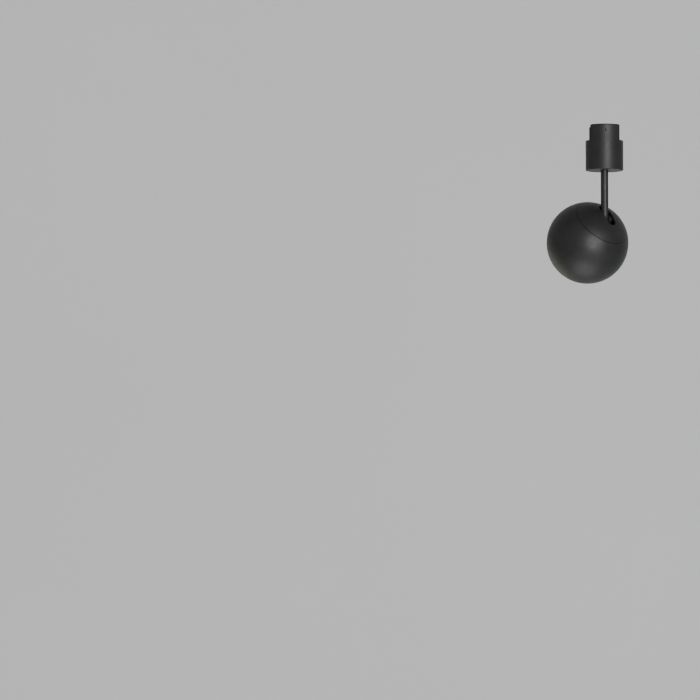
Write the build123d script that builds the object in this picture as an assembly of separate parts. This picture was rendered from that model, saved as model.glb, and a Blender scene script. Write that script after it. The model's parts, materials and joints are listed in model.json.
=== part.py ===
from build123d import *
import os

# A ball-shaped track spotlight. Millimetres, +Z up.
# The origin is the middle of the rail seat, the floor of the adaptor's slot, on the stem's axis.
# The rail runs along X through the slot, and the stem hangs down along -Z.

os.makedirs("parts", exist_ok=True)

# Adaptor: a cylinder with a slot for the rail across its top.
BODY_R = 19.75
EAR_TOP = 16.4
BODY_BOTTOM = -31.0
SLOT_HALF = 12.5
WALL = 2.0
SEAT_THICK = 3.0
PLATE_LOW = -29.8
PLATE_TOP = -27.2
COVER_LOW = -30.8
COVER_TOP = -30.0
INSERT_R = 17.65
POST_R = 3.0
POST_PITCH_R = 14.9
POST_ANGLES = (90, 210, 330)
GRUB_Z = 9.8
GRUB_R = 1.22
GRUB_FACE = 16.6

# Contact block, which reaches up into the rail.
TONGUE_X = 11.0
TONGUE_Y = 4.5
TONGUE_TOP = 9.5
PIN_X = 6.5
PIN_BORE_R = 1.7
PIN_HEAD_R = 1.62
PIN_TIP_R = 1.2

# Driver board inside the adaptor.
BOARD_TOP = -12.0
BOARD_THICK = 1.6
BOARD_LOW = BOARD_TOP - BOARD_THICK
BOARD_R = 17.2
BOARD_POSTS = ((11.95, 6.9), (-11.95, 6.9))

# Stem and its swivel.
STEM_R = 4.0
STEM_BORE_R = 2.6
STEM_TOP = -18.0
PIVOT_Z = -81.8
STEM_FLAT = 3.75
BUSH_BORE_R = 4.05
RING_Z = -28.75
STOP_R = 9.5

# Head: a ball with its centre on the head's own origin, aimed along its own -Z.
BALL_R = 43.0
SHELL = 2.0
SEAM_Z = 29.9
SEAM_GAP = 0.4
MOUTH_Z = -37.8
MOUTH_R = 18.5
PIVOT_UP = 35.6
SLOT_W = 10.8
SLOT_L = 28.0
LUG_IN = 6.2
LUG_OUT = 8.7
SINK_FACE = -18.0
SINK_BACK = -13.0
SINK_R = 26.4
FIN_TOP = 9.0
PILLAR = 11.0
PILLAR_TOP = 30.0
LEAD_Y = 15.5
CLAMP_SEAT = SINK_FACE + 3.1
HOLDER_FACE = SINK_FACE - 4.2
HOLDER_SCREW_X = 9.6
SPIGOT_OUTER = 26.9
SPIGOT_INNER = 25.1
LENS_R = 18.2
LENS_FACE = -31.2
BEZEL_R = 18.42
PIVOT_PIN_R = 2.0
PIVOT_HOLE_R = 2.02

# How the head stands at rest: turned about the stem, and tipped up from straight down.
PAN = 39.3
TILT = 49.0

INNER_R = BALL_R - SHELL
on_stem = Rot(0, 0, PAN)
on_head = Pos(0, 0, PIVOT_Z) * Rot(0, 0, PAN) * Rot(TILT, 0, 0) * Pos(0, 0, -PIVOT_UP)


def disc(radius, low, high, x=0, y=0):
    """A round plate or post between two heights."""
    return Pos(x, y, (low + high) / 2) * Cylinder(radius, high - low)


def ring(outer, inner, low, high, x=0, y=0):
    """A flat ring between two heights."""
    return disc(outer, low, high, x, y) - disc(inner, low - 1, high + 1, x, y)


def block(x0, x1, y0, y1, z0, z1):
    """A rectangular block between two corners."""
    middle = Pos((x0 + x1) / 2, (y0 + y1) / 2, (z0 + z1) / 2)
    return middle * Box(x1 - x0, y1 - y0, z1 - z0)


def rod_x(radius, x0, x1, y, z):
    """A round bar along X."""
    return Pos((x0 + x1) / 2, y, z) * Rot(0, 90, 0) * Cylinder(radius, x1 - x0)


def rod_y(radius, y0, y1, x, z):
    """A round bar along Y."""
    return Pos(x, (y0 + y1) / 2, z) * Rot(90, 0, 0) * Cylinder(radius, y1 - y0)


def lathe(points):
    """A turned shape from its half outline, given as radius and height."""
    outline = Polyline([(r, 0, z) for r, z in points], close=True)
    return revolve(make_face(outline), axis=Axis.Z)


def polar(radius, angle):
    """A point on a pitch circle."""
    spot = Vector(radius, 0, 0).rotate(Axis.Z, angle)
    return spot.X, spot.Y


def hexagon(flats, low, high, x=0, y=0):
    """A hexagonal bar between two heights."""
    face = Pos(x, y, low) * RegularPolygon(flats / 2, 6, major_radius=False)
    return extrude(face, amount=high - low)


def lead(points, radius):
    """A soft lead that passes smoothly through its points."""
    path = Spline([Vector(*p) for p in points])
    section = Plane(origin=path @ 0, z_dir=path % 0) * Circle(radius)
    return sweep(section, path=path)


def bent_lead(points, bend, radius):
    """A soft lead of straight lengths with rounded bends."""
    path = FilletPolyline(*points, radius=bend)
    section = Plane(origin=path @ 0, z_dir=path % 0) * Circle(radius)
    return sweep(section, path=path)


def group(solids):
    """Several separate solids kept together."""
    return Compound(children=[s if isinstance(s, Solid) else s.solid() for s in solids])


# ---- adaptor ----


def adaptor_housing():
    shell = disc(BODY_R, BODY_BOTTOM, EAR_TOP)
    shell -= block(-30, 30, -SLOT_HALF, SLOT_HALF, 0, EAR_TOP + 5)
    rim = shell.edges().filter_by(GeomType.CIRCLE).sort_by(Axis.Z)[0]
    shell = fillet(rim, 0.5)
    shell = chamfer(shell.edges().filter_by(GeomType.CIRCLE).sort_by(Axis.Z)[-2:], 0.8)
    shell -= disc(BODY_R - WALL, BODY_BOTTOM - 1, -SEAT_THICK)
    for angle in POST_ANGLES:
        x, y = polar(POST_PITCH_R, angle)
        shell += disc(POST_R, PLATE_TOP, -SEAT_THICK, x, y) & disc(BODY_R - 0.5, BODY_BOTTOM, 0)
        shell -= disc(1.25, PLATE_TOP - 1, -15, x, y)
    for x, y in BOARD_POSTS:
        shell += disc(2.2, BOARD_TOP, -SEAT_THICK, x, y)
        shell -= disc(0.95, BOARD_TOP - 1, -5, x, y)
    shell -= block(-TONGUE_X - 0.2, TONGUE_X + 0.2, -TONGUE_Y - 0.2, TONGUE_Y + 0.2, -4, 1)
    shell -= rod_y(1.25, -25, 25, 0, GRUB_Z)
    return shell


def rail_grub_screws():
    screws = []
    for side in (-1, 1):
        near, far = sorted((side * GRUB_FACE, side * 12.7))
        body = rod_y(GRUB_R, near, far, 0, GRUB_Z)
        socket = Rot(90, 0, 0) * RegularPolygon(0.65, 6, major_radius=False)
        socket = Pos(0, side * GRUB_FACE, GRUB_Z) * socket
        screws.append(body - extrude(socket, amount=1.4, both=True))
    return group(screws)


def swivel_plate():
    plate = disc(INSERT_R, PLATE_LOW, PLATE_TOP) + disc(7.0, PLATE_TOP - 0.1, -25.0)
    x, y = polar(STOP_R, PAN + 90)
    plate += disc(1.0, PLATE_TOP - 0.1, -19.6, x, y)
    plate -= disc(5.2, -32, -20)
    plate -= disc(6.3, -32, -28.0)
    for angle in POST_ANGLES:
        x, y = polar(POST_PITCH_R, angle)
        plate -= disc(1.3, -32, -20, x, y)
        plate -= Pos(x, y, PLATE_LOW + 0.5) * Cone(2.3, 1.3, 1.0)
    return plate


def plate_screws():
    screws = []
    head = PLATE_LOW + 0.05
    for angle in POST_ANGLES:
        x, y = polar(POST_PITCH_R, angle)
        screw = Pos(x, y, head + 0.5) * Cone(2.1, 1.2, 1.0) + disc(1.2, head + 0.9, -16.5, x, y)
        screws.append(screw - hexagon(1.5, head - 1, head + 0.7, x, y))
    return group(screws)


def base_cover():
    cover = disc(INSERT_R, COVER_LOW, COVER_TOP) + ring(16.6, 15.4, COVER_TOP - 0.1, PLATE_LOW)
    cover = chamfer(cover.edges().filter_by(GeomType.CIRCLE).sort_by(Axis.Z)[0], 0.15)
    return cover - disc(STEM_R + 0.3, COVER_LOW - 1, 0)


def contact_block():
    tongue = block(-TONGUE_X, TONGUE_X, -TONGUE_Y, TONGUE_Y, -4, TONGUE_TOP)
    tongue = chamfer(tongue.edges().group_by(Axis.Z)[-1], 0.6)
    body = tongue + block(-12.8, 12.8, -4.3, 4.3, -5, -SEAT_THICK)
    body += block(-8.5, 8.5, -6.5, 6.5, -5, -SEAT_THICK)
    for side in (-1, 1):
        body -= disc(PIN_BORE_R, -4, 8.0, side * PIN_X)
        body -= disc(PIN_TIP_R + 0.05, 7, 12, side * PIN_X)
        body -= disc(0.55, -6, -3, side * PIN_X)
    return body


def contact_pin(side):
    head = disc(PIN_HEAD_R, 6.8, 7.95)
    tip = disc(PIN_TIP_R, 7.5, 11.2)
    pin = head + chamfer(tip.edges().sort_by(Axis.Z)[-1], 0.5)
    return Pos(side * PIN_X, 0, 0) * pin


def contact_spring(side):
    path = Helix(pitch=1.25, height=9.6, radius=1.15)
    section = Plane(origin=path @ 0, z_dir=path % 0) * Circle(0.19)
    return Pos(side * PIN_X, 0, -3.2) * sweep(section, path=path, is_frenet=True)


def contact_tags():
    tags = []
    for side in (-1, 1):
        tags.append(disc(1.6, -4.0, -3.5, side * PIN_X) + disc(0.5, -8.0, -3.8, side * PIN_X))
    return group(tags)


def input_leads():
    leads = []
    for side, x in ((-1, 5.4), (1, 7.4)):
        start = (side * PIN_X, 0.4 * side, -8.9)
        leads.append(lead([start, (side * 3 + 2, 4.5, -9.4), (x, 7.5, -9.2)], 0.6))
    return group(leads)


def driver_board():
    board = disc(BOARD_R, BOARD_LOW, BOARD_TOP)
    for angle in POST_ANGLES:
        x, y = polar(POST_PITCH_R + 0.3, angle)
        board -= disc(POST_R + 0.4, -20, 0, x, y)
    for x, y in BOARD_POSTS:
        board -= disc(1.1, -20, 0, x, y)
    board -= disc(1.0, -20, 0, 12.5, 0)
    return board


def board_screws():
    screws = []
    for x, y in BOARD_POSTS:
        screw = disc(1.9, BOARD_LOW - 1.4, BOARD_LOW, x, y) + disc(0.92, BOARD_LOW - 0.5, -6, x, y)
        screws.append(screw - block(x - 2, x + 2, y - 0.25, y + 0.25, BOARD_LOW - 2, BOARD_LOW - 0.9))
    return group(screws)


def driver_capacitors():
    cans = []
    for x, y in ((-5.8, 11.0), (-6.5, -11.5)):
        can = disc(2.5, BOARD_TOP, BOARD_TOP + 5.6, x, y)
        cans.append(fillet(can.edges().sort_by(Axis.Z)[-1], 0.4))
    return group(cans)


def driver_inductor():
    body = block(-3.4, 3.4, -13.9, -7.1, BOARD_TOP, BOARD_TOP + 4.2)
    return chamfer(body.edges().filter_by(Axis.Z), 1.2)


def driver_chips():
    regulator = block(8.2, 11.2, -2.6, 2.6, BOARD_TOP, BOARD_TOP + 1.6)
    bridge = block(-14.2, -10.0, -2.4, 2.4, BOARD_TOP, BOARD_TOP + 2.2)
    return group([regulator, bridge])


def terminal_block():
    body = block(3.4, 9.4, 8.3, 13.0, BOARD_TOP, BOARD_TOP + 4.4)
    for x in (5.4, 7.4):
        body -= disc(0.7, BOARD_TOP + 3.4, BOARD_TOP + 5, x, 10.6)
    return body


def output_connector():
    body = block(-2.6, 2.6, -13.4, -9.4, BOARD_LOW - 3.4, BOARD_LOW)
    return body - block(-2.0, 2.0, -10.4, -9.0, BOARD_LOW - 2.6, BOARD_LOW - 0.8)


# ---- swivel and stem ----


def stem_bush():
    return ring(6.6, BUSH_BORE_R, -25.0, -24.0) + ring(5.18, BUSH_BORE_R, -28.0, -24.5)


def thrust_washer():
    return ring(6.4, STEM_R + 0.25, -24.0, -23.3)


def disc_spring():
    return lathe([(4.1, -22.7), (6.2, -23.0), (6.2, -23.25), (4.1, -22.95)])


def stop_collar():
    collar = ring(6.8, STEM_R, -22.7, -19.2)
    tab = block(-1.0, 1.0, 6.0, 10.4, -22.7, -20.2)
    flank = block(-0.95, 0.95, -6.9, -5.9, -22.7, -19.2)
    collar += tab & disc(10.4, -25, -18)
    return on_stem * Rot(0, 0, 180) * (collar - flank)


def stem_retaining_ring():
    clip = ring(5.7, 3.6, RING_Z, RING_Z + 0.6)
    gap = block(-1.6, 1.6, 2, 7, RING_Z - 1, RING_Z + 2)
    return on_stem * (clip - gap)


def stem():
    tube = disc(STEM_R, PIVOT_Z, STEM_TOP)
    tube = chamfer(tube.edges().sort_by(Axis.Z)[-1], 0.4)
    tube += rod_x(STEM_R, -STEM_R, STEM_R, 0, PIVOT_Z) & disc(STEM_R, PIVOT_Z - 10, PIVOT_Z + 1)
    tube -= disc(STEM_BORE_R, PIVOT_Z + 3.0, 0)
    tube -= block(-1.8, 1.8, 0, 6, PIVOT_Z + 3.0, PIVOT_Z + 6.6)
    for side in (-1, 1):
        x0, x1 = sorted((side * STEM_FLAT, side * 6))
        tube -= block(x0, x1, -6, 6, PIVOT_Z - 6, PIVOT_Z + 3.7)
    tube -= rod_x(2.05, -8, 8, 0, PIVOT_Z)
    tube -= ring(8, 3.6, RING_Z - 0.05, RING_Z + 0.65)
    return on_stem * tube


def stem_lead():
    points = [(0, 0, STEM_TOP + 1.6), (0, 0, PIVOT_Z + 5.2), (0, 3.9, PIVOT_Z + 4.6)]
    return on_stem * bent_lead(points, 1.8, 1.3)


def output_lead():
    points = [(0, -9.2, -15.3), (0, -6, -15.3), (0, -2.4, -15.25), (0, 0.5, -15.2)]
    return lead(points, 0.75)


# ---- head, in its own frame ----


def ball(radius):
    return Sphere(radius)


def pivot_lug(side):
    x0, x1 = sorted((side * LUG_IN, side * LUG_OUT))
    lug = rod_x(4.5, x0, x1, 0, PIVOT_UP) + block(x0, x1, -4.5, 4.5, PIVOT_UP, BALL_R)
    return lug & ball(INNER_R + 0.3)


def rear_cap():
    edge = SEAM_Z + SEAM_GAP / 2
    cap = (ball(BALL_R) - ball(INNER_R)) & block(-50, 50, -50, 50, edge, 50)
    cap += ring(SPIGOT_OUTER, SPIGOT_INNER, 26.6, 33) & ball(INNER_R + 0.3)
    opening = SlotOverall(SLOT_L, SLOT_W, rotation=90)
    cap -= extrude(Pos(0, 0, 30) * opening, amount=20)
    lip = [e for e in cap.edges() if abs((e @ 0.5).length - BALL_R) < 0.01 and abs((e @ 0.5).Z) > 35]
    cap = chamfer(lip, 0.3)
    for side in (-1, 1):
        cap += pivot_lug(side)
    for x in (-PILLAR, PILLAR):
        for y in (-PILLAR, PILLAR):
            cap += disc(3.2, PILLAR_TOP, 42, x, y) & ball(INNER_R + 0.3)
    for x in (-PILLAR, PILLAR):
        for y in (-PILLAR, PILLAR):
            cap -= disc(1.25, PILLAR_TOP - 1, 35.6, x, y)
    cap -= rod_x(PIVOT_HOLE_R, -10, 10, 0, PIVOT_UP)
    return cap


def seam_gasket():
    low = SEAM_Z - SEAM_GAP / 2
    return ring(30.2, SPIGOT_OUTER + 0.05, low, low + SEAM_GAP)


def front_shell():
    edge = SEAM_Z - SEAM_GAP / 2
    shell = ball(BALL_R) - ball(INNER_R)
    inside = disc(20.7, MOUTH_Z - 5, SINK_FACE) + disc(22.6, SINK_FACE - 3, SINK_FACE)
    for angle in (0, 60, 120):
        rib = block(-45, 45, -1.0, 1.0, -34, SINK_FACE)
        inside += Rot(0, 0, angle) * rib
    shell += inside & ball(INNER_R + 0.3)
    shell += disc(20.7, MOUTH_Z - 5, SINK_FACE - 2) & ball(BALL_R)
    shell -= disc(MOUTH_R, -60, -5)
    shell = shell & block(-50, 50, -50, 50, MOUTH_Z, edge)
    return chamfer(shell.edges().group_by(Axis.Z)[0], 0.3)


def heat_sink():
    sink = disc(SINK_R, SINK_FACE, SINK_BACK)
    for i in range(-6, 6):
        x = (i + 0.5) * 4.4
        sink += block(x - 0.8, x + 0.8, -30, 30, SINK_BACK - 1, FIN_TOP) & disc(SINK_R, -20, 20)
    for x in (-PILLAR, PILLAR):
        for y in (-PILLAR, PILLAR):
            sink -= disc(3.6, SINK_BACK, 30, x, y)
            sink -= disc(1.7, -30, 0, x, y)
            sink -= disc(3.0, -30, CLAMP_SEAT, x, y)
    sink -= disc(2.4, -30, 30, 0, LEAD_Y)
    sink -= disc(3.5, SINK_BACK, 30, 0, LEAD_Y)
    for x in (-HOLDER_SCREW_X, HOLDER_SCREW_X):
        sink -= disc(0.9, -30, SINK_FACE + 3.6, x, 0)
    return sink


def standoff_pillars():
    pillars = []
    for x in (-PILLAR, PILLAR):
        for y in (-PILLAR, PILLAR):
            bar = hexagon(5.5, SINK_BACK, PILLAR_TOP, x, y) + disc(1.2, PILLAR_TOP - 1, 35.0, x, y)
            pillars.append(bar - disc(1.25, SINK_BACK - 1, -3, x, y))
    return group(pillars)


def clamp_screws():
    screws = []
    head = CLAMP_SEAT
    for x in (-PILLAR, PILLAR):
        for y in (-PILLAR, PILLAR):
            screw = disc(2.6, head - 2.6, head, x, y) + disc(1.2, head - 1, -4, x, y)
            screws.append(screw - hexagon(2.0, head - 3, head - 1.4, x, y))
    return group(screws)


def led_board():
    board = disc(12.2, SINK_FACE - 1.6, SINK_FACE)
    for x in (-HOLDER_SCREW_X, HOLDER_SCREW_X):
        board -= disc(1.1, -30, 0, x, 0)
    return board


def led_chip():
    chip = block(-6.6, 6.6, -6.6, 6.6, SINK_FACE - 2.6, SINK_FACE - 1.6)
    return chip - disc(4.6, SINK_FACE - 3, SINK_FACE - 2.2)


def led_emitter():
    return disc(4.55, SINK_FACE - 2.75, SINK_FACE - 2.2)


def led_holder():
    low = HOLDER_FACE
    face = [(5.4, low + 1.4), (6.6, low), (11.6, low), (12.0, low + 0.4)]
    holder = lathe(face + [(12.0, -19.6), (5.4, -19.6)])
    holder -= block(-6.7, 6.7, -6.7, 6.7, SINK_FACE - 2.7, -19)
    for x in (-HOLDER_SCREW_X, HOLDER_SCREW_X):
        holder -= disc(1.1, -30, 0, x, 0)
    return holder


def holder_screws():
    screws = []
    low = HOLDER_FACE
    for x in (-HOLDER_SCREW_X, HOLDER_SCREW_X):
        screw = disc(1.9, low - 1.3, low, x, 0) + disc(0.88, low - 0.5, SINK_FACE + 3.4, x, 0)
        screws.append(screw - block(x - 0.25, x + 0.25, -2, 2, low - 2, low - 0.7))
    return group(screws)


def reflector():
    inner = [(5.5, -22.35), (8.0, -23.7), (10.6, -25.3), (12.9, -27.0), (15.0, -29.0)]
    rim = [(LENS_R, -29.0), (LENS_R, -28.2), (15.6, -28.2)]
    outer = [(13.5, -26.3), (11.2, -24.6), (8.6, -22.9), (5.9, -21.6)]
    cone = lathe(inner + rim + outer)
    for x in (-HOLDER_SCREW_X, HOLDER_SCREW_X):
        cone -= disc(2.3, -23.9, -18, x, 0)
    return cone & disc(30, -40, -22.25)


def lens():
    edge = [(0, LENS_FACE), (LENS_R, LENS_FACE), (LENS_R, -29.05), (14.4, -29.05)]
    return lathe(edge + [(8.0, -28.5), (0, -28.3)])


def lens_gasket():
    return ring(LENS_R, 16.3, LENS_FACE - 0.6, LENS_FACE)


def bezel():
    inner = [(15.4, -31.8), (15.4, -32.3), (15.9, -32.3), (15.9, -33.6), (16.4, -33.6), (16.4, -34.9)]
    front = [(16.9, -34.9), (16.9, -36.2), (17.5, -37.3), (18.15, -37.3), (BEZEL_R, -37.0), (BEZEL_R, -31.8)]
    body = lathe(inner + front)
    for angle in (0, 180):
        body -= Rot(0, 0, angle) * block(16.0, 18.0, -0.9, 0.9, -38, -36.4)
    return body


def pivot_screw():
    shank = rod_x(PIVOT_PIN_R, -LUG_OUT - 2.6, LUG_OUT + 0.5, 0, PIVOT_UP)
    screw = shank + rod_x(3.0, LUG_OUT, LUG_OUT + 1.9, 0, PIVOT_UP)
    slot = block(LUG_OUT + 1.1, LUG_OUT + 3, -0.4, 0.4, PIVOT_UP - 4, PIVOT_UP + 4)
    return screw - slot


def pivot_nut():
    hexagonal = Pos(0, PIVOT_UP) * RegularPolygon(2.9, 6, major_radius=False)
    nut = extrude(Plane.YZ.offset(-LUG_OUT - 2.2) * hexagonal, amount=2.2)
    return nut - rod_x(PIVOT_PIN_R, -15, 0, 0, PIVOT_UP)


def friction_washers():
    washers = []
    for side in (-1, 1):
        x0, x1 = sorted((side * (STEM_FLAT + 0.03), side * LUG_IN))
        washers.append(rod_x(3.6, x0, x1, 0, PIVOT_UP) - rod_x(PIVOT_HOLE_R, -9, 9, 0, PIVOT_UP))
    return group(washers)


def head_lead():
    points = [(0, 7.4, 27.5), (0, LEAD_Y, 16.0), (0, LEAD_Y, -17.0)]
    return bent_lead(points, 6.0, 1.3)


def lead_grommet():
    return ring(2.35, 1.4, -17.6, -12.4, 0, LEAD_Y) + ring(3.2, 1.4, SINK_BACK, -12.0, 0, LEAD_Y)


fixed = {
    "adaptor_housing": adaptor_housing(),
    "rail_grub_screws": rail_grub_screws(),
    "swivel_plate": swivel_plate(),
    "plate_screws": plate_screws(),
    "base_cover": base_cover(),
    "contact_block": contact_block(),
    "contact_pin_left": contact_pin(-1),
    "contact_pin_right": contact_pin(1),
    "contact_spring_left": contact_spring(-1),
    "contact_spring_right": contact_spring(1),
    "contact_tags": contact_tags(),
    "input_leads": input_leads(),
    "driver_board": driver_board(),
    "board_screws": board_screws(),
    "driver_capacitors": driver_capacitors(),
    "driver_inductor": driver_inductor(),
    "driver_chips": driver_chips(),
    "terminal_block": terminal_block(),
    "output_connector": output_connector(),
    "output_lead": output_lead(),
    "stem_bush": stem_bush(),
    "thrust_washer": thrust_washer(),
    "disc_spring": disc_spring(),
    "stop_collar": stop_collar(),
    "stem_retaining_ring": stem_retaining_ring(),
    "stem": stem(),
    "stem_lead": stem_lead(),
}

head = {
    "rear_cap": rear_cap(),
    "seam_gasket": seam_gasket(),
    "front_shell": front_shell(),
    "heat_sink": heat_sink(),
    "standoff_pillars": standoff_pillars(),
    "clamp_screws": clamp_screws(),
    "led_board": led_board(),
    "led_chip": led_chip(),
    "led_emitter": led_emitter(),
    "led_holder": led_holder(),
    "holder_screws": holder_screws(),
    "reflector": reflector(),
    "lens": lens(),
    "lens_gasket": lens_gasket(),
    "bezel": bezel(),
    "pivot_screw": pivot_screw(),
    "pivot_nut": pivot_nut(),
    "friction_washers": friction_washers(),
    "head_lead": head_lead(),
    "lead_grommet": lead_grommet(),
}

for name, shape in fixed.items():
    export_step(shape, "parts/" + name + ".step")

for name, shape in head.items():
    export_step(on_head * shape, "parts/" + name + ".step")
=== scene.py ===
"""A black ball spotlight on a rail adaptor. Metres, in the CAD's own frame."""

import json
import math

import bmesh
import bpy
from mathutils import Matrix, Vector


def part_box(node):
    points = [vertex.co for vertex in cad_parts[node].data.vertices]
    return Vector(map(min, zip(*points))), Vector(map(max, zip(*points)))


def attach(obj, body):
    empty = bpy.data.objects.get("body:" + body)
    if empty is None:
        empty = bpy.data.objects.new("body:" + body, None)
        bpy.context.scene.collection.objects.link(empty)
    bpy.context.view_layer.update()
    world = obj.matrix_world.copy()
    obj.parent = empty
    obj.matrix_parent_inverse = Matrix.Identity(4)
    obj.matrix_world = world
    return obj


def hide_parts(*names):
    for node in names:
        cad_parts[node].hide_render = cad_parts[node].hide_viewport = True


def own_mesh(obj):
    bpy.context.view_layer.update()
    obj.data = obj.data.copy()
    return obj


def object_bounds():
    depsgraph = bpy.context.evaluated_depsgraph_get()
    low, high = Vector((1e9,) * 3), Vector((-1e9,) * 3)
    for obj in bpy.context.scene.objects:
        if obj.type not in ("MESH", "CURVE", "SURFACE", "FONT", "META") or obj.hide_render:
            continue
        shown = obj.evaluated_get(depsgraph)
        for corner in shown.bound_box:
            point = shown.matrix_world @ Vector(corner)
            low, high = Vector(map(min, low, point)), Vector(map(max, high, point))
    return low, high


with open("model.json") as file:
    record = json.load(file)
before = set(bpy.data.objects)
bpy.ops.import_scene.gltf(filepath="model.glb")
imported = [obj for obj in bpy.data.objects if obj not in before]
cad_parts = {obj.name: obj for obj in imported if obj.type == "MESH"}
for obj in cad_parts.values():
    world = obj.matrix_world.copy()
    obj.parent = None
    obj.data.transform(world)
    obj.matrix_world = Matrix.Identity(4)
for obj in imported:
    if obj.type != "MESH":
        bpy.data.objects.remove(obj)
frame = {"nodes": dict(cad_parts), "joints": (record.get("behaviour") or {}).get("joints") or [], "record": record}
cad_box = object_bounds()

MM = 0.001
TILT_JOINT = next(j for j in frame["joints"] if j["name"] == "tilt")

# The tilt pivot, how far the head is tipped at rest, and how far the pivot is from the ball's middle.
PIVOT = Vector(TILT_JOINT["pos_m"])
PIVOT_AXIS = Vector(TILT_JOINT["axis"])
REST_TILT = math.radians(49)
PIVOT_UP = 35.6 * MM


def head_frame():
    """The head's own frame: origin in the ball's middle, Z out of the slotted cap, X along the pivot."""
    up = Matrix.Rotation(REST_TILT, 3, PIVOT_AXIS) @ Vector((0, 0, 1))
    side = up.cross(PIVOT_AXIS)
    turn = Matrix((PIVOT_AXIS, side, up)).transposed().to_4x4()
    return Matrix.Translation(PIVOT - up * PIVOT_UP) @ turn


HEAD = head_frame()


# ---- materials ----


class Finish:
    """A node material on one shader, in the part's own coordinates."""

    def __init__(self, name):
        self.material = bpy.data.materials.new(name)
        self.material.use_nodes = True
        self.tree = self.material.node_tree
        self.shader = self.tree.nodes["Principled BSDF"]
        self.place = self.add("ShaderNodeTexCoord").outputs["Object"]

    def add(self, kind, **settings):
        """A new node with these settings."""
        node = self.tree.nodes.new(kind)
        for key, value in settings.items():
            setattr(node, key, value)
        return node

    def link(self, output, socket):
        self.tree.links.new(output, socket)

    def set(self, **values):
        """Sets the shader's own sockets, whose names have spaces for underscores."""
        for key, value in values.items():
            self.shader.inputs[key.replace("_", " ")].default_value = value

    def noise(self, size, detail=2.0):
        """Cloudy noise whose blotches are about this size in metres."""
        node = self.add("ShaderNodeTexNoise")
        self.link(self.place, node.inputs["Vector"])
        node.inputs["Scale"].default_value = 1 / size
        node.inputs["Detail"].default_value = detail
        return node.outputs["Fac"]

    def cells(self, size):
        """The distance to the middle of cells about this size in metres."""
        node = self.add("ShaderNodeTexVoronoi", feature="F1")
        self.link(self.place, node.inputs["Vector"])
        node.inputs["Scale"].default_value = 1 / size
        return node.outputs["Distance"]

    def ramp(self, source, low, high, start=0.3, end=0.7):
        """Turns a factor into a colour between two."""
        node = self.add("ShaderNodeValToRGB")
        first, last = node.color_ramp.elements
        first.position, last.position = start, end
        first.color, last.color = (*low, 1), (*high, 1)
        self.link(source, node.inputs["Fac"])
        return node.outputs["Color"]

    def spread(self, source, low, high, start=0.25, end=0.75):
        """Maps a factor to a range of numbers."""
        node = self.add("ShaderNodeMapRange")
        node.inputs["From Min"].default_value = start
        node.inputs["From Max"].default_value = end
        node.inputs["To Min"].default_value = low
        node.inputs["To Max"].default_value = high
        self.link(source, node.inputs["Value"])
        return node.outputs["Result"]

    def bump(self, height, depth, strength, under=None):
        """A normal raised by this much in metres, on top of another if there is one."""
        node = self.add("ShaderNodeBump")
        node.inputs["Strength"].default_value = strength
        node.inputs["Distance"].default_value = depth
        self.link(height, node.inputs["Height"])
        if under:
            self.link(under, node.inputs["Normal"])
        return node.outputs["Normal"]


# The powder coat: its dust and how much of it, how far its gloss drifts, and the sizes of its detail.
DUST = (0.32, 0.31, 0.29, 1)
DUST_MOST = 0.022
GLOSS_DRIFT = 0.05
EDGE_SOFTNESS = 0.25 * MM
PEEL_SIZE = 0.6 * MM
GRAIN_SIZE = 0.16 * MM


def powder_coat(name, dark, light, roughness, depth=0.03 * MM):
    """Satin powder coat: fine orange peel, a little cloudiness, a trace of dust on what faces up."""
    f = Finish(name)
    tone = f.ramp(f.noise(14 * MM, 4), dark, light)
    facing = f.add("ShaderNodeSeparateXYZ")
    f.link(f.add("ShaderNodeNewGeometry").outputs["Normal"], facing.inputs[0])
    dust = f.add("ShaderNodeMath", operation="MULTIPLY")
    f.link(f.spread(facing.outputs["Z"], 0, DUST_MOST, 0.45, 1.0), dust.inputs[0])
    f.link(f.spread(f.noise(0.9 * MM, 5), 0, 1, 0.35, 0.75), dust.inputs[1])
    mix = f.add("ShaderNodeMix", data_type="RGBA")
    f.link(dust.outputs[0], mix.inputs["Factor"])
    f.link(tone, mix.inputs["A"])
    mix.inputs["B"].default_value = DUST
    f.link(mix.outputs["Result"], f.shader.inputs["Base Color"])
    gloss = f.spread(f.noise(5 * MM, 5), roughness - GLOSS_DRIFT, roughness + GLOSS_DRIFT)
    f.link(gloss, f.shader.inputs["Roughness"])
    soft_edge = f.add("ShaderNodeBevel", samples=4)
    soft_edge.inputs["Radius"].default_value = EDGE_SOFTNESS
    peel = f.bump(f.noise(PEEL_SIZE, 2), depth, 0.6, soft_edge.outputs["Normal"])
    f.link(f.bump(f.cells(GRAIN_SIZE), depth * 0.35, 0.35, peel), f.shader.inputs["Normal"])
    f.set(Specular_IOR_Level=0.3)
    return f.material


def plain(name, dark, light, roughness, grain=0.4 * MM, depth=0.008 * MM, metal=0.0):
    """Moulded, drawn or machined stock: slow colour change, uneven gloss and a fine grain."""
    f = Finish(name)
    f.link(f.ramp(f.noise(grain * 14, 4), dark, light), f.shader.inputs["Base Color"])
    f.link(f.spread(f.noise(grain * 5, 4), roughness * 0.8, roughness * 1.2), f.shader.inputs["Roughness"])
    f.link(f.bump(f.noise(grain, 3), depth, 0.5), f.shader.inputs["Normal"])
    f.set(Metallic=metal)
    return f.material


# How fine the turning marks and the copper tracks are.
RINGS_SCALE = 900
TRACKS_SCALE = 260


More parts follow.
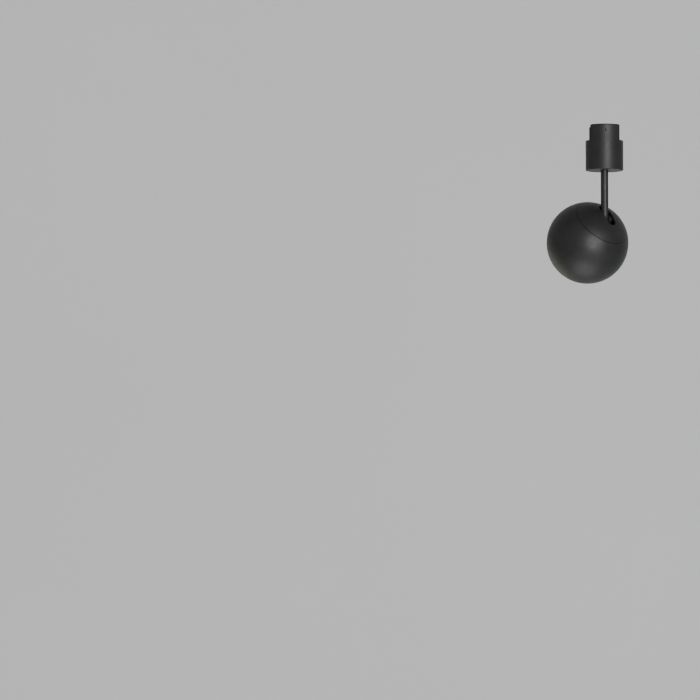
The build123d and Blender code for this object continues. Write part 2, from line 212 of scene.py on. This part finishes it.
def turned(name, dark, light, roughness):
    """Lathe-turned metal, with fine rings along Z."""
    f = Finish(name)
    f.link(f.ramp(f.noise(3 * MM, 4), dark, light), f.shader.inputs["Base Color"])
    rings = f.add("ShaderNodeTexWave", bands_direction="Z")
    f.link(f.place, rings.inputs["Vector"])
    rings.inputs["Scale"].default_value = RINGS_SCALE
    rings.inputs["Distortion"].default_value = 1.5
    f.link(f.spread(f.noise(1.5 * MM, 3), roughness * 0.8, roughness * 1.3), f.shader.inputs["Roughness"])
    f.link(f.bump(rings.outputs["Fac"], 0.006 * MM, 0.4), f.shader.inputs["Normal"])
    f.set(Metallic=1.0)
    return f.material


def circuit_board(name, mask_dark, mask_light, copper):
    """Solder mask over copper tracks, which stand out a little."""
    f = Finish(name)
    tracks = f.add("ShaderNodeTexBrick")
    f.link(f.place, tracks.inputs["Vector"])
    tracks.inputs["Scale"].default_value = TRACKS_SCALE
    tracks.inputs["Mortar Size"].default_value = 0.035
    tracks.inputs["Color1"].default_value = (*mask_dark, 1)
    tracks.inputs["Color2"].default_value = (*mask_light, 1)
    tracks.inputs["Mortar"].default_value = (*copper, 1)
    f.link(tracks.outputs["Color"], f.shader.inputs["Base Color"])
    f.link(f.spread(f.noise(1.2 * MM, 3), 0.3, 0.45), f.shader.inputs["Roughness"])
    f.link(f.bump(tracks.outputs["Fac"], 0.03 * MM, 0.6), f.shader.inputs["Normal"])
    return f.material


def phosphor(name):
    """Warm phosphor gel, lit."""
    f = Finish(name)
    glow = f.ramp(f.cells(0.35 * MM), (1.0, 0.62, 0.24), (1.0, 0.78, 0.42), 0.1, 0.7)
    f.link(glow, f.shader.inputs["Base Color"])
    f.link(glow, f.shader.inputs["Emission Color"])
    f.set(Emission_Strength=6.0, Roughness=0.5)
    return f.material


def clear_lens(name):
    """Clear moulded acrylic with faint flow marks."""
    f = Finish(name)
    f.link(f.ramp(f.noise(4 * MM, 3), (0.95, 0.97, 0.97), (1, 1, 1)), f.shader.inputs["Base Color"])
    f.link(f.spread(f.noise(2 * MM, 4), 0.02, 0.07), f.shader.inputs["Roughness"])
    f.link(f.bump(f.noise(2.4 * MM, 2), 0.01 * MM, 0.3), f.shader.inputs["Normal"])
    f.set(Transmission_Weight=1.0, IOR=1.49)
    return f.material


COAT_DARK = (0.0068, 0.0068, 0.0070)
COAT_LIGHT = (0.0100, 0.0100, 0.0102)
PAINT_DARK = (0.006, 0.006, 0.006)
PAINT_LIGHT = (0.010, 0.010, 0.010)

BLACK = powder_coat("black_powder_coat", COAT_DARK, COAT_LIGHT, 0.48)
STEM_BLACK = powder_coat("black_stem_coat", COAT_DARK, COAT_LIGHT, 0.44)
COVER = plain("black_cover_plastic", (0.011, 0.011, 0.0112), (0.016, 0.016, 0.0162), 0.52, 0.3 * MM)
BAFFLE = powder_coat("black_baffle_paint", PAINT_DARK, PAINT_LIGHT, 0.62, 0.02 * MM)
OXIDE = plain("black_oxide_steel", (0.010, 0.010, 0.011), (0.024, 0.024, 0.026), 0.42, metal=0.3)
MOULDED = plain("black_moulded_plastic", (0.011, 0.011, 0.012), (0.019, 0.019, 0.020), 0.5, 0.25 * MM)
GREEN = plain("green_terminal_plastic", (0.03, 0.20, 0.08), (0.05, 0.27, 0.11), 0.42)
WHITE = plain("white_moulded_plastic", (0.76, 0.75, 0.71), (0.84, 0.83, 0.79), 0.4)
NYLON = plain("natural_nylon", (0.66, 0.63, 0.54), (0.76, 0.73, 0.64), 0.45)
FERRITE = plain("sintered_ferrite", (0.045, 0.045, 0.048), (0.085, 0.085, 0.09), 0.7, 0.2 * MM, 0.02 * MM)
CAN = turned("drawn_can", (0.55, 0.56, 0.58), (0.72, 0.73, 0.75), 0.28)
BOARD = circuit_board("green_circuit_board", (0.015, 0.11, 0.045), (0.02, 0.14, 0.055), (0.05, 0.24, 0.1))
WHITE_BOARD = circuit_board("white_led_board", (0.78, 0.78, 0.76), (0.82, 0.82, 0.80), (0.66, 0.65, 0.60))
CERAMIC = plain("white_ceramic", (0.78, 0.76, 0.70), (0.86, 0.84, 0.78), 0.3, 0.15 * MM)
PHOSPHOR = phosphor("lit_phosphor")
BRASS = turned("plated_brass", (0.70, 0.50, 0.20), (0.86, 0.66, 0.32), 0.24)
SPRING = turned("spring_steel", (0.42, 0.42, 0.43), (0.60, 0.60, 0.61), 0.3)
ZINC = plain("zinc_plated_steel", (0.50, 0.51, 0.53), (0.68, 0.69, 0.71), 0.3, 0.3 * MM, metal=1.0)
SHEATH = plain("lead_sheath", (0.008, 0.008, 0.008), (0.016, 0.016, 0.016), 0.55, 0.3 * MM)
RUBBER = plain("black_rubber", (0.020, 0.020, 0.020), (0.030, 0.030, 0.030), 0.75, 0.2 * MM, 0.015 * MM)
CAST = plain("cast_aluminium", (0.42, 0.42, 0.43), (0.56, 0.56, 0.57), 0.45, 0.5 * MM, 0.02 * MM, 1.0)
BRIGHT = plain("bright_anodised", (0.84, 0.84, 0.85), (0.92, 0.92, 0.93), 0.09, 0.8 * MM, 0.004 * MM, 1.0)
LENS = clear_lens("clear_lens")

BY_SLOT = {
    "black_coat": BLACK,
    "black_stem": STEM_BLACK,
    "black_cover": COVER,
    "black_bezel": BAFFLE,
    "black_steel": OXIDE,
    "black_plastic": MOULDED,
    "green_plastic": GREEN,
    "white_plastic": WHITE,
    "natural_plastic": NYLON,
    "ferrite": FERRITE,
    "can_aluminium": CAN,
    "board": BOARD,
    "white_board": WHITE_BOARD,
    "ceramic": CERAMIC,
    "phosphor": PHOSPHOR,
    "brass": BRASS,
    "spring_steel": SPRING,
    "zinc_steel": ZINC,
    "lead_sheath": SHEATH,
    "black_rubber": RUBBER,
    "sink_aluminium": CAST,
    "mirror_aluminium": BRIGHT,
    "lens_glass": LENS,
}


def dress_nodes():
    """Gives every CAD node the finish of its slot in the record."""
    slots = {row["node"]: row["material_slot"] for row in frame["record"]["subparts"]}
    for name, node in frame["nodes"].items():
        node.data.materials.clear()
        node.data.materials.append(BY_SLOT[slots[name]])


# ---- detailed pieces that stand for plain CAD nodes ----


def mesh_object(name, bm, material, body):
    """Makes a finished mesh into a piece of the object."""
    bmesh.ops.recalc_face_normals(bm, faces=bm.faces)
    mesh = bpy.data.meshes.new(name)
    bm.to_mesh(mesh)
    bm.free()
    piece = bpy.data.objects.new(name, mesh)
    bpy.context.scene.collection.objects.link(piece)
    mesh.materials.append(material)
    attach(piece, body)
    return piece


def head_point(radius, angle, z):
    """A point in the head's own cylinder coordinates, given in millimetres."""
    return HEAD @ Vector((radius * math.cos(angle) * MM, radius * math.sin(angle) * MM, z * MM))


def head_lathe(bm, profile, segments, creases=()):
    """A closed turned ring about the aim axis; the profile's points named in creases stay sharp."""
    loops = []
    for r, z in profile:
        angles = [math.tau * i / segments for i in range(segments)]
        loops.append([bm.verts.new(head_point(r, a, z)) for a in angles])
    count = len(profile)
    for k in range(count):
        here, after = loops[k], loops[(k + 1) % count]
        for i in range(segments):
            j = (i + 1) % segments
            face = bm.faces.new((here[i], here[j], after[j], after[i]))
            face.smooth = True
    for k in creases:
        for i in range(segments):
            bm.edges.get((loops[k][i], loops[k][(i + 1) % segments])).smooth = False


# The reflector's inner curve and its back, as radius and height in the head's frame, in millimetres.
REFLECTOR_CURVE = ((5.5, -22.4), (8.0, -23.7), (10.6, -25.3), (12.9, -27.0), (15.0, -28.95))
REFLECTOR_BACK = (
    (18.2, -28.95),
    (18.2, -28.25),
    (15.7, -28.25),
    (13.4, -26.45),
    (11.1, -24.8),
    (8.5, -23.2),
    (5.9, -21.9),
)
FACETS_ROUND = 24
FACET_CUTS = 4
FACET_CROWN = 0.22


def curve_at(t):
    """A point on the reflector's inner curve, with t counting its spans."""
    k = min(int(t), len(REFLECTOR_CURVE) - 2)
    (r0, z0), (r1, z1) = REFLECTOR_CURVE[k], REFLECTOR_CURVE[k + 1]
    u = t - k
    return r0 + (r1 - r0) * u, z0 + (z1 - z0) * u


def faceted_reflector():
    """A spun reflector of crowned facets, with its rim and a smooth back."""
    bm = bmesh.new()
    rows = (len(REFLECTOR_CURVE) - 1) * FACET_CUTS
    columns = FACETS_ROUND * FACET_CUTS
    grid = []
    for k in range(rows + 1):
        r, z = curve_at(k / FACET_CUTS)
        across = 1 - (2 * (k % FACET_CUTS) / FACET_CUTS - 1) ** 2
        ring = []
        for i in range(columns):
            along = 1 - (2 * (i % FACET_CUTS) / FACET_CUTS - 1) ** 2
            crown = FACET_CROWN * across * along
            spot = head_point(r - crown * 0.6, math.tau * i / columns, z - crown * 0.8)
            ring.append(bm.verts.new(spot))
        grid.append(ring)
    for r, z in REFLECTOR_BACK:
        grid.append([bm.verts.new(head_point(r, math.tau * i / columns, z)) for i in range(columns)])
    for k, ring in enumerate(grid):
        after = grid[(k + 1) % len(grid)]
        for i in range(columns):
            j = (i + 1) % columns
            bm.faces.new((ring[i], ring[j], after[j], after[i])).smooth = True
    # The edges between facets, and those of the rim and the back's ends, stay sharp.
    for k in range(0, rows + 1, FACET_CUTS):
        for i in range(columns):
            bm.edges.get((grid[k][i], grid[k][(i + 1) % columns])).smooth = False
    for k in range(rows):
        for i in range(0, columns, FACET_CUTS):
            bm.edges.get((grid[k][i], grid[k + 1][i])).smooth = False
    for k in (rows + 1, rows + 2, rows + 3, len(grid) - 1):
        for i in range(columns):
            bm.edges.get((grid[k][i], grid[k][(i + 1) % columns])).smooth = False
    piece = mesh_object("faceted_reflector", bm, BRIGHT, "head")
    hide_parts("reflector")


# The lens, in millimetres in the head's frame: rim, outer face, seat, outermost groove and dome.
LENS_RIM_R = 18.2
LENS_FACE_Z = -31.2
LENS_SEAT_Z = -29.05
FIRST_GROOVE_R = 14.4
DOME_TOP_Z = -28.3
GROOVE_PITCH = 1.3
GROOVE_DEPTH = 0.55
GROOVES = 8
LENS_SEGMENTS = 144
DAM_SEGMENTS = 96


def fresnel_lens():
    """A clear disc whose inner face has a small dome ringed by prism grooves."""
    profile = [
        (0.02, LENS_FACE_Z),
        (LENS_RIM_R - 0.2, LENS_FACE_Z),
        (LENS_RIM_R, LENS_FACE_Z + 0.2),
        (LENS_RIM_R, LENS_SEAT_Z - 0.15),
        (LENS_RIM_R - 0.15, LENS_SEAT_Z),
        (FIRST_GROOVE_R, LENS_SEAT_Z),
    ]
    sharp = [1, 2, 3, 4, 5]
    for k in range(GROOVES):
        r = FIRST_GROOVE_R - k * GROOVE_PITCH
        profile.append((r - 0.08, LENS_SEAT_Z + GROOVE_DEPTH))
        profile.append((r - GROOVE_PITCH, LENS_SEAT_Z))
        sharp += [len(profile) - 2, len(profile) - 1]
    dome = profile[-1][0]
    for t in (0.8, 0.6, 0.4, 0.2, 0.01):
        profile.append((dome * t, DOME_TOP_Z - (DOME_TOP_Z - LENS_SEAT_Z) * t * t))
    bm = bmesh.new()
    head_lathe(bm, profile, LENS_SEGMENTS, sharp)
    piece = mesh_object("fresnel_lens", bm, LENS, "head")
    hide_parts("lens")


def emitter_dam():
    """The white ring moulded round the phosphor on the LED chip."""
    profile = [(4.5, -20.72), (4.62, -20.98), (4.85, -21.08), (5.08, -20.98), (5.2, -20.62), (4.9, -20.55)]
    bm = bmesh.new()
    head_lathe(bm, profile, DAM_SEGMENTS)
    mesh_object("emitter_dam", bm, CERAMIC, "head")


# The contact springs: lengths in millimetres, foot and head at the middle of the wire's ends.
SPRING_R = 1.15
SPRING_WIRE = 0.19
SPRING_FOOT = -3.27
SPRING_HEAD = 6.58
SPRING_TURNS = 9.5
STEPS_PER_TURN = 24
WIRE_SIDES = 10


def spring_height(turn):
    """How high the wire is after this many turns; the first and last turns lie closed."""
    closed = 2.1 * SPRING_WIRE
    if turn < 1:
        return SPRING_FOOT + closed * turn
    if turn > SPRING_TURNS - 1:
        return SPRING_HEAD - closed * (SPRING_TURNS - turn)
    share = (turn - 1) / (SPRING_TURNS - 2)
    return SPRING_FOOT + closed + share * (SPRING_HEAD - SPRING_FOOT - 2 * closed)


def contact_spring(name, node):
    """A coil spring with closed ends."""
    bm = bmesh.new()
    x = sum(c.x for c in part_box(node)) / 2
    rings = []
    steps = int(SPRING_TURNS * STEPS_PER_TURN)
    for i in range(steps + 1):
        turn = i / STEPS_PER_TURN
        a = math.tau * turn
        outward = Vector((math.cos(a), math.sin(a), 0))
        middle = Vector((x, 0, spring_height(turn) * MM)) + outward * (SPRING_R * MM)
        section = []
        for k in range(WIRE_SIDES):
            b = math.tau * k / WIRE_SIDES
            offset = (outward * math.cos(b) + Vector((0, 0, 1)) * math.sin(b)) * (SPRING_WIRE * MM)
            section.append(bm.verts.new(middle + offset))
        rings.append(section)
    for here, after in zip(rings, rings[1:]):
        for k in range(WIRE_SIDES):
            j = (k + 1) % WIRE_SIDES
            bm.faces.new((here[k], here[j], after[j], after[k])).smooth = True
    bm.faces.new(rings[0])
    bm.faces.new(rings[-1])
    piece = mesh_object(name, bm, SPRING, "adaptor")
    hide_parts(node)
    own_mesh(piece)


# ---- stage, light and camera ----

FLOOR_Z = -1.5
WALL_Y = 2.6
STAGE_REACH = 30.0
WALL_TOP = 5.0
SWEEP_R = 1.0
SWEEP_STEPS = 12
WORLD_SIDE = 0.83
WORLD_TOP = 0.35
TOP_REACHED_AT = 0.9


def backdrop():
    """A pale floor that sweeps up into a wall behind the object."""
    mesh = bpy.data.meshes.new("backdrop")
    bm = bmesh.new()
    start_y = WALL_Y - SWEEP_R
    profile = [(-STAGE_REACH, FLOOR_Z), (start_y, FLOOR_Z)]
    for i in range(1, SWEEP_STEPS + 1):
        a = math.radians(90 * i / SWEEP_STEPS)
        profile.append((start_y + SWEEP_R * math.sin(a), FLOOR_Z + SWEEP_R - SWEEP_R * math.cos(a)))
    profile.append((WALL_Y, WALL_TOP))
    rows = [[bm.verts.new((x, y, z)) for y, z in profile] for x in (-STAGE_REACH, STAGE_REACH)]
    for i in range(len(profile) - 1):
        bm.faces.new((rows[0][i], rows[1][i], rows[1][i + 1], rows[0][i + 1]))
    bm.to_mesh(mesh)
    bm.free()
    mesh.shade_smooth()
    wall = bpy.data.objects.new("backdrop", mesh)
    bpy.context.scene.collection.objects.link(wall)
    paint = plain("pale_backdrop", (0.77, 0.775, 0.77), (0.79, 0.795, 0.79), 0.9, 60 * MM)
    wall.data.materials.append(paint)


def area_light(name, place, target, size, power, colour=(1, 1, 1)):
    """A round soft light at a place, turned to its target."""
    lamp = bpy.data.lights.new(name, "AREA")
    lamp.shape = "DISK"
    lamp.size = size
    lamp.energy = power
    lamp.color = colour
    holder = bpy.data.objects.new(name, lamp)
    holder.location = place
    holder.rotation_mode = "QUATERNION"
    holder.rotation_quaternion = (Vector(target) - Vector(place)).to_track_quat("-Z", "Y")
    bpy.context.scene.collection.objects.link(holder)


def soft_room():
    """Even light from the walls and the floor, dimmer overhead, as under a pale ceiling."""
    world = bpy.data.worlds.new("soft_room")
    world.use_nodes = True
    tree = world.node_tree
    place = tree.nodes.new("ShaderNodeTexCoord")
    height = tree.nodes.new("ShaderNodeSeparateXYZ")
    tree.links.new(place.outputs["Generated"], height.inputs[0])
    fade = tree.nodes.new("ShaderNodeMapRange")
    fade.inputs["From Min"].default_value = 0.0
    fade.inputs["From Max"].default_value = TOP_REACHED_AT
    fade.inputs["To Min"].default_value = WORLD_SIDE
    fade.inputs["To Max"].default_value = WORLD_TOP
    tree.links.new(height.outputs["Z"], fade.inputs["Value"])
    tree.links.new(fade.outputs["Result"], tree.nodes["Background"].inputs["Strength"])
    tree.nodes["Background"].inputs["Color"].default_value = (0.96, 0.97, 0.97, 1)
    bpy.context.scene.world = world


def lighting():
    """The window in front, light back from the floor, and the warm pool that the beam makes."""
    ball = HEAD.translation
    area_light("key_window", ball + Vector((0.61, -2.11, -0.15)), ball, 0.9, 62)
    area_light("floor_bounce", ball + Vector((-0.12, -0.13, -0.95)), ball, 0.8, 6.0)
    area_light("beam_pool", ball + Vector((-0.75, 0.9, -0.55)), ball, 0.9, 1.8, (1.0, 0.90, 0.66))
    soft_room()


# The camera stands a little below the light and far back, and sees it right of and above its middle.
# It is placed from the foot of the adaptor, which is this far under the tops of the ears.
ADAPTOR_HEIGHT = 47.4 * MM
LENS_MM = 257.1
SENSOR_MM = 36
PITCH_UP = math.radians(4.05)
DISTANCE = 5.234

# How far that foot is right of and above the camera's axis, as a share of the distance.
ASIDE = 0.0509
ABOVE = 0.0359


def camera():
    """A long lens on a stand, with its picture's middle left of and below the light."""
    data = bpy.data.cameras.new("camera")
    data.lens = LENS_MM
    data.sensor_width = SENSOR_MM
    data.clip_end = 50
    holder = bpy.data.objects.new("camera", data)
    foot = Vector((0, 0, cad_box[1][2] - ADAPTOR_HEIGHT))
    ahead = Vector((0, math.cos(PITCH_UP), math.sin(PITCH_UP)))
    up = Vector((0, -math.sin(PITCH_UP), math.cos(PITCH_UP)))
    holder.location = foot - DISTANCE * (ahead + ASIDE * Vector((1, 0, 0)) + ABOVE * up)
    holder.rotation_mode = "QUATERNION"
    holder.rotation_quaternion = ahead.to_track_quat("-Z", "Y")
    bpy.context.scene.collection.objects.link(holder)
    bpy.context.scene.camera = holder


dress_nodes()
faceted_reflector()
fresnel_lens()
emitter_dam()
for side in ("left", "right"):
    contact_spring("coil_spring_" + side, "contact_spring_" + side)
backdrop()
lighting()
camera()
